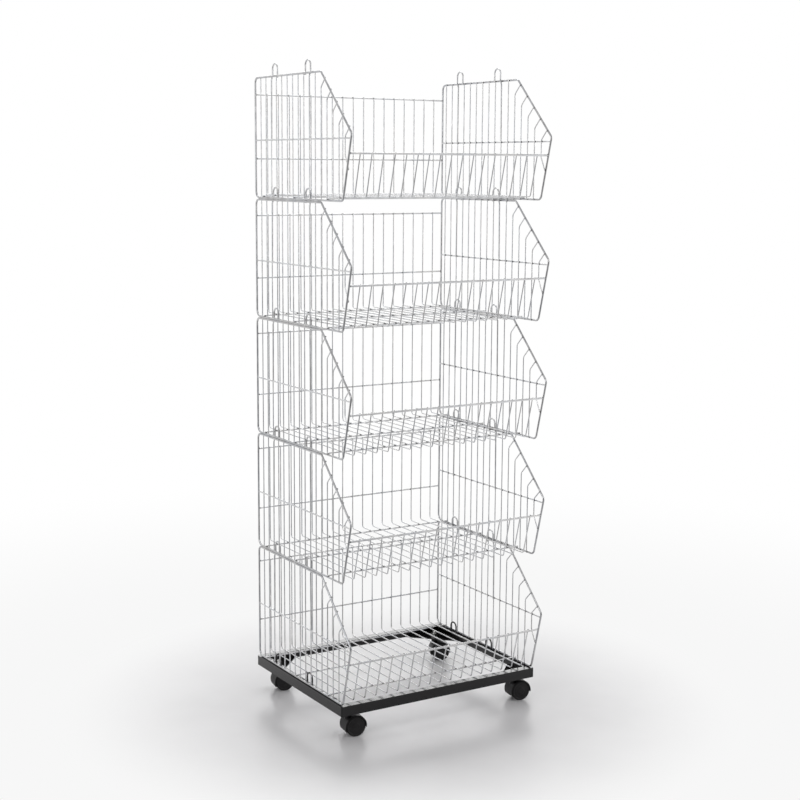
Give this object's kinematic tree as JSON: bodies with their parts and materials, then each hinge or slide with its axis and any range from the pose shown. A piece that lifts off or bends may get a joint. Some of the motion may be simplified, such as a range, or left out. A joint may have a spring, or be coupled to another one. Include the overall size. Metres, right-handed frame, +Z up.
{
  "type": "wire basket display rack",
  "caption": "Stacked open-front wire baskets with slanted fronts, hooked one on another over a black angle-iron base on swivel casters, for shop display.",
  "frame": {"origin": "on the floor, under the middle of the rack's bounding box", "axes": "+Z up, +X to the right seen from the front, -Y towards the open fronts of the baskets"},
  "size_m": [0.5804, 0.4902, 1.6194],
  "materials": {
    "frame_wire": "bright zinc plate, slightly hazed",
    "grid_wire": "bright zinc plate, slightly hazed",
    "hook_wire": "bright zinc plate, slightly hazed",
    "base_paint": "black powder coat, satin",
    "zinc_hardware": "bright zinc plate",
    "caster_hood": "moulded black nylon, low sheen",
    "caster_wheel": "moulded black nylon, low sheen"
  },
  "bodies": {
    "base": {"base_frame": "base_paint", "base_corner_plates": "base_paint", "base_hooks": "base_paint", "caster_stems": "zinc_hardware"},
    "caster_fl": {"caster_fl_hood": "caster_hood", "caster_fl_axle": "zinc_hardware"},
    "caster_fl_wheel_front": {"caster_fl_wheel_front": "caster_wheel"},
    "caster_fl_wheel_rear": {"caster_fl_wheel_rear": "caster_wheel"},
    "caster_fr": {"caster_fr_hood": "caster_hood", "caster_fr_axle": "zinc_hardware"},
    "caster_fr_wheel_front": {"caster_fr_wheel_front": "caster_wheel"},
    "caster_fr_wheel_rear": {"caster_fr_wheel_rear": "caster_wheel"},
    "caster_rl": {"caster_rl_hood": "caster_hood", "caster_rl_axle": "zinc_hardware"},
    "caster_rl_wheel_front": {"caster_rl_wheel_front": "caster_wheel"},
    "caster_rl_wheel_rear": {"caster_rl_wheel_rear": "caster_wheel"},
    "caster_rr": {"caster_rr_hood": "caster_hood", "caster_rr_axle": "zinc_hardware"},
    "caster_rr_wheel_front": {"caster_rr_wheel_front": "caster_wheel"},
    "caster_rr_wheel_rear": {"caster_rr_wheel_rear": "caster_wheel"},
    "basket1": {"basket1_side_frame_left": "frame_wire", "basket1_side_frame_right": "frame_wire", "basket1_side_wires_left": "grid_wire", "basket1_side_wires_right": "grid_wire", "basket1_back_grid": "grid_wire", "basket1_floor_grid": "grid_wire", "basket1_front_grid": "grid_wire", "basket1_stacking_hooks": "hook_wire"},
    "basket2": {"basket2_side_frame_left": "frame_wire", "basket2_side_frame_right": "frame_wire", "basket2_side_wires_left": "grid_wire", "basket2_side_wires_right": "grid_wire", "basket2_back_grid": "grid_wire", "basket2_floor_grid": "grid_wire", "basket2_front_grid": "grid_wire", "basket2_stacking_hooks": "hook_wire"},
    "basket3": {"basket3_side_frame_left": "frame_wire", "basket3_side_frame_right": "frame_wire", "basket3_side_wires_left": "grid_wire", "basket3_side_wires_right": "grid_wire", "basket3_back_grid": "grid_wire", "basket3_floor_grid": "grid_wire", "basket3_front_grid": "grid_wire", "basket3_stacking_hooks": "hook_wire"},
    "basket4": {"basket4_side_frame_left": "frame_wire", "basket4_side_frame_right": "frame_wire", "basket4_side_wires_left": "grid_wire", "basket4_side_wires_right": "grid_wire", "basket4_back_grid": "grid_wire", "basket4_floor_grid": "grid_wire", "basket4_front_grid": "grid_wire", "basket4_stacking_hooks": "hook_wire"},
    "basket5": {"basket5_side_frame_left": "frame_wire", "basket5_side_frame_right": "frame_wire", "basket5_side_wires_left": "grid_wire", "basket5_side_wires_right": "grid_wire", "basket5_back_grid": "grid_wire", "basket5_floor_grid": "grid_wire", "basket5_front_grid": "grid_wire", "basket5_stacking_hooks": "hook_wire"}
  },
  "joints": [
    {"name": "caster_fl_swivel", "type": "hinge", "parent": "base", "child": "caster_fl", "pos_m": [-0.25123, -0.16991, 0.045], "axis": [0, 0, 1], "continuous": true},
    {"name": "caster_fl_wheel_front_spin", "type": "hinge", "parent": "caster_fl", "child": "caster_fl_wheel_front", "pos_m": [-0.23829, -0.18562, 0.025], "axis": [0.1392, 0.9903, 0], "continuous": true},
    {"name": "caster_fl_wheel_rear_spin", "type": "hinge", "parent": "caster_fl", "child": "caster_fl_wheel_rear", "pos_m": [-0.23446, -0.15838, 0.025], "axis": [0.1392, 0.9903, 0], "continuous": true},
    {"name": "caster_fr_swivel", "type": "hinge", "parent": "base", "child": "caster_fr", "pos_m": [0.24277, -0.16991, 0.045], "axis": [0, 0, 1], "continuous": true},
    {"name": "caster_fr_wheel_front_spin", "type": "hinge", "parent": "caster_fr", "child": "caster_fr_wheel_front", "pos_m": [0.25571, -0.18562, 0.025], "axis": [0.1392, 0.9903, 0], "continuous": true},
    {"name": "caster_fr_wheel_rear_spin", "type": "hinge", "parent": "caster_fr", "child": "caster_fr_wheel_rear", "pos_m": [0.25954, -0.15838, 0.025], "axis": [0.1392, 0.9903, 0], "continuous": true},
    {"name": "caster_rl_swivel", "type": "hinge", "parent": "base", "child": "caster_rl", "pos_m": [-0.25123, 0.20609, 0.045], "axis": [0, 0, 1], "continuous": true},
    {"name": "caster_rl_wheel_front_spin", "type": "hinge", "parent": "caster_rl", "child": "caster_rl_wheel_front", "pos_m": [-0.23884, 0.18994, 0.025], "axis": [0.1736, 0.9848, 0], "continuous": true},
    {"name": "caster_rl_wheel_rear_spin", "type": "hinge", "parent": "caster_rl", "child": "caster_rl_wheel_rear", "pos_m": [-0.23407, 0.21702, 0.025], "axis": [0.1736, 0.9848, 0], "continuous": true},
    {"name": "caster_rr_swivel", "type": "hinge", "parent": "base", "child": "caster_rr", "pos_m": [0.24277, 0.20609, 0.045], "axis": [0, 0, 1], "continuous": true},
    {"name": "caster_rr_wheel_front_spin", "type": "hinge", "parent": "caster_rr", "child": "caster_rr_wheel_front", "pos_m": [0.25088, 0.18743, 0.025], "axis": [0.4067, 0.9135, 0], "continuous": true},
    {"name": "caster_rr_wheel_rear_spin", "type": "hinge", "parent": "caster_rr", "child": "caster_rr_wheel_rear", "pos_m": [0.26207, 0.21255, 0.025], "axis": [0.4067, 0.9135, 0], "continuous": true},
    {"name": "basket1_lift_off", "type": "slide", "parent": "base", "child": "basket1", "axis": [0, 0, 1], "range_m": [0, 0.045]},
    {"name": "basket2_lift_off", "type": "slide", "parent": "basket1", "child": "basket2", "axis": [0, 0, 1], "range_m": [0, 0.045]},
    {"name": "basket3_lift_off", "type": "slide", "parent": "basket2", "child": "basket3", "axis": [0, 0, 1], "range_m": [0, 0.045]},
    {"name": "basket4_lift_off", "type": "slide", "parent": "basket3", "child": "basket4", "axis": [0, 0, 1], "range_m": [0, 0.045]},
    {"name": "basket5_lift_off", "type": "slide", "parent": "basket4", "child": "basket5", "axis": [0, 0, 1], "range_m": [0, 0.045]}
  ]
}
